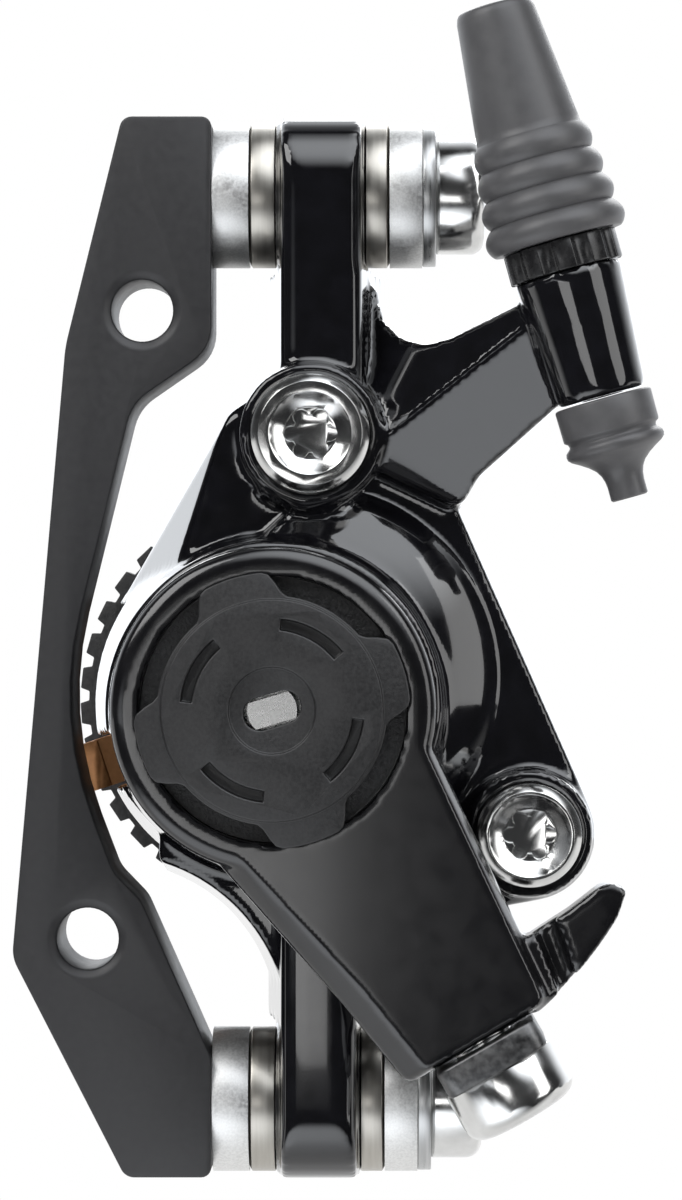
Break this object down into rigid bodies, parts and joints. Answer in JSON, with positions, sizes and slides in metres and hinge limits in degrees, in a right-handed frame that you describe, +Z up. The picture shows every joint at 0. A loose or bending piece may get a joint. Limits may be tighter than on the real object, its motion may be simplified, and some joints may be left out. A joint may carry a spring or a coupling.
{
  "type": "mechanical disc brake caliper",
  "caption": "Cable-pulled disc brake caliper on its adapter bracket, with torque arm, ball and ramp drive, pads and pad adjusters.",
  "frame": {"origin": "midway between the two tapped frame holes, on the bracket's outer face", "axes": "-Y out of that face, towards the viewer of the picture; +Z up along the caliper's length; +X away from the bracket"},
  "size_m": [0.0523, 0.0481, 0.0949],
  "materials": {
    "bracket_black": "satin black anodised plate",
    "body_black": "deep gloss black paint",
    "arm_black": "deep gloss black paint",
    "bolt_steel": "polished stainless steel",
    "washer_alloy": "tumbled aluminium",
    "washer_steel": "turned steel",
    "retainer_steel": "stamped steel",
    "hard_steel": "ground hardened steel",
    "ball_steel": "polished bearing steel",
    "cage_brass": "stamped brass",
    "dark_steel": "black oxide steel",
    "spring_steel": "drawn spring steel",
    "ring_plastic": "moulded black plastic",
    "knob_plastic": "moulded charcoal plastic",
    "dial_plastic": "moulded black plastic",
    "pad_copper": "copper plated steel",
    "lining": "sintered friction lining",
    "boot_rubber": "soft grey rubber",
    "rubber_black": "black rubber",
    "stop_black": "black anodised aluminium"
  },
  "bodies": {
    "root": {"bracket": "bracket_black", "outboard_body": "body_black", "inboard_body": "body_black", "body_bolt_upper": "bolt_steel", "body_bolt_lower": "bolt_steel", "mount_bolt_upper": "bolt_steel", "mount_bolt_lower": "bolt_steel", "retaining_washer_upper": "retainer_steel", "retaining_washer_lower": "retainer_steel", "socket_washer_upper_inner": "washer_alloy", "socket_washer_upper_outer": "washer_alloy", "socket_washer_lower_inner": "washer_alloy", "socket_washer_lower_outer": "washer_alloy", "ball_washer_upper_inner": "washer_steel", "ball_washer_upper_outer": "washer_steel", "ball_washer_lower_inner": "washer_steel", "ball_washer_lower_outer": "washer_steel", "arm_return_spring": "spring_steel", "dust_seal": "rubber_black", "ball_race": "hard_steel", "pad_spring": "spring_steel", "inboard_detent_spring": "spring_steel", "housing_stop": "stop_black", "housing_boot": "boot_rubber", "cable_boot": "boot_rubber"},
    "thrust": {"thrust_washer": "hard_steel"},
    "arm": {"torque_arm": "arm_black", "drive_spindle": "hard_steel", "arm_retaining_ring": "dark_steel", "detent_ring": "ring_plastic", "cable_clamp_bolt": "bolt_steel", "cable_clamp_washer": "dark_steel"},
    "ball_set": {"ramp_balls": "ball_steel", "ball_cage": "cage_brass"},
    "outboard_knob": {"outboard_knob": "knob_plastic"},
    "outboard_foot": {"outboard_foot_screw": "hard_steel"},
    "outboard_pad": {"outboard_pad_plate": "pad_copper", "outboard_pad_lining": "lining"},
    "inboard_pad": {"inboard_pad_plate": "pad_copper", "inboard_pad_lining": "lining"},
    "inboard_knob": {"inboard_knob": "dial_plastic", "inboard_foot_screw": "hard_steel"}
  },
  "joints": [
    {"name": "pad_thrust", "type": "slide", "parent": "root", "child": "thrust", "axis": [0, 1, 0], "range_m": [0, 0.0009]},
    {"name": "arm_swing", "type": "hinge", "parent": "thrust", "child": "arm", "pos_m": [0.01307, 0, -0.00665], "axis": [0, -1, 0], "range_deg": [0, 32], "stiffness_Nm_per_rad": 0.2, "springref_deg": -34.38},
    {"name": "ball_roll", "type": "hinge", "parent": "root", "child": "ball_set", "pos_m": [0.01307, 0, -0.00665], "axis": [0, -1, 0], "range_deg": [0, 16]},
    {"name": "outboard_knob_turn", "type": "hinge", "parent": "arm", "child": "outboard_knob", "pos_m": [0.01307, 0, -0.00665], "axis": [0, 1, 0], "range_deg": [-216, 216]},
    {"name": "outboard_foot_advance", "type": "slide", "parent": "outboard_knob", "child": "outboard_foot", "axis": [0, 1, 0], "range_m": [-0.0006, 0.0006]},
    {"name": "outboard_pad_advance", "type": "slide", "parent": "thrust", "child": "outboard_pad", "axis": [0, 1, 0], "range_m": [-0.0006, 0.0006]},
    {"name": "inboard_pad_advance", "type": "slide", "parent": "root", "child": "inboard_pad", "axis": [0, -1, 0], "range_m": [-0.0006, 0.0006]},
    {"name": "inboard_knob_turn", "type": "hinge", "parent": "inboard_pad", "child": "inboard_knob", "pos_m": [0.01307, 0, -0.00665], "axis": [0, -1, 0], "range_deg": [-216, 216]}
  ],
  "couplings": [
    {"joint": "pad_thrust", "follows": "arm_swing", "m_per_rad": 0.0016114},
    {"joint": "ball_roll", "follows": "arm_swing", "ratio": 0.5},
    {"joint": "outboard_knob_turn", "follows": "outboard_pad_advance", "rad_per_m": 6283.2},
    {"joint": "outboard_foot_advance", "follows": "outboard_pad_advance", "ratio": 1},
    {"joint": "inboard_knob_turn", "follows": "inboard_pad_advance", "rad_per_m": 6283.2}
  ]
}
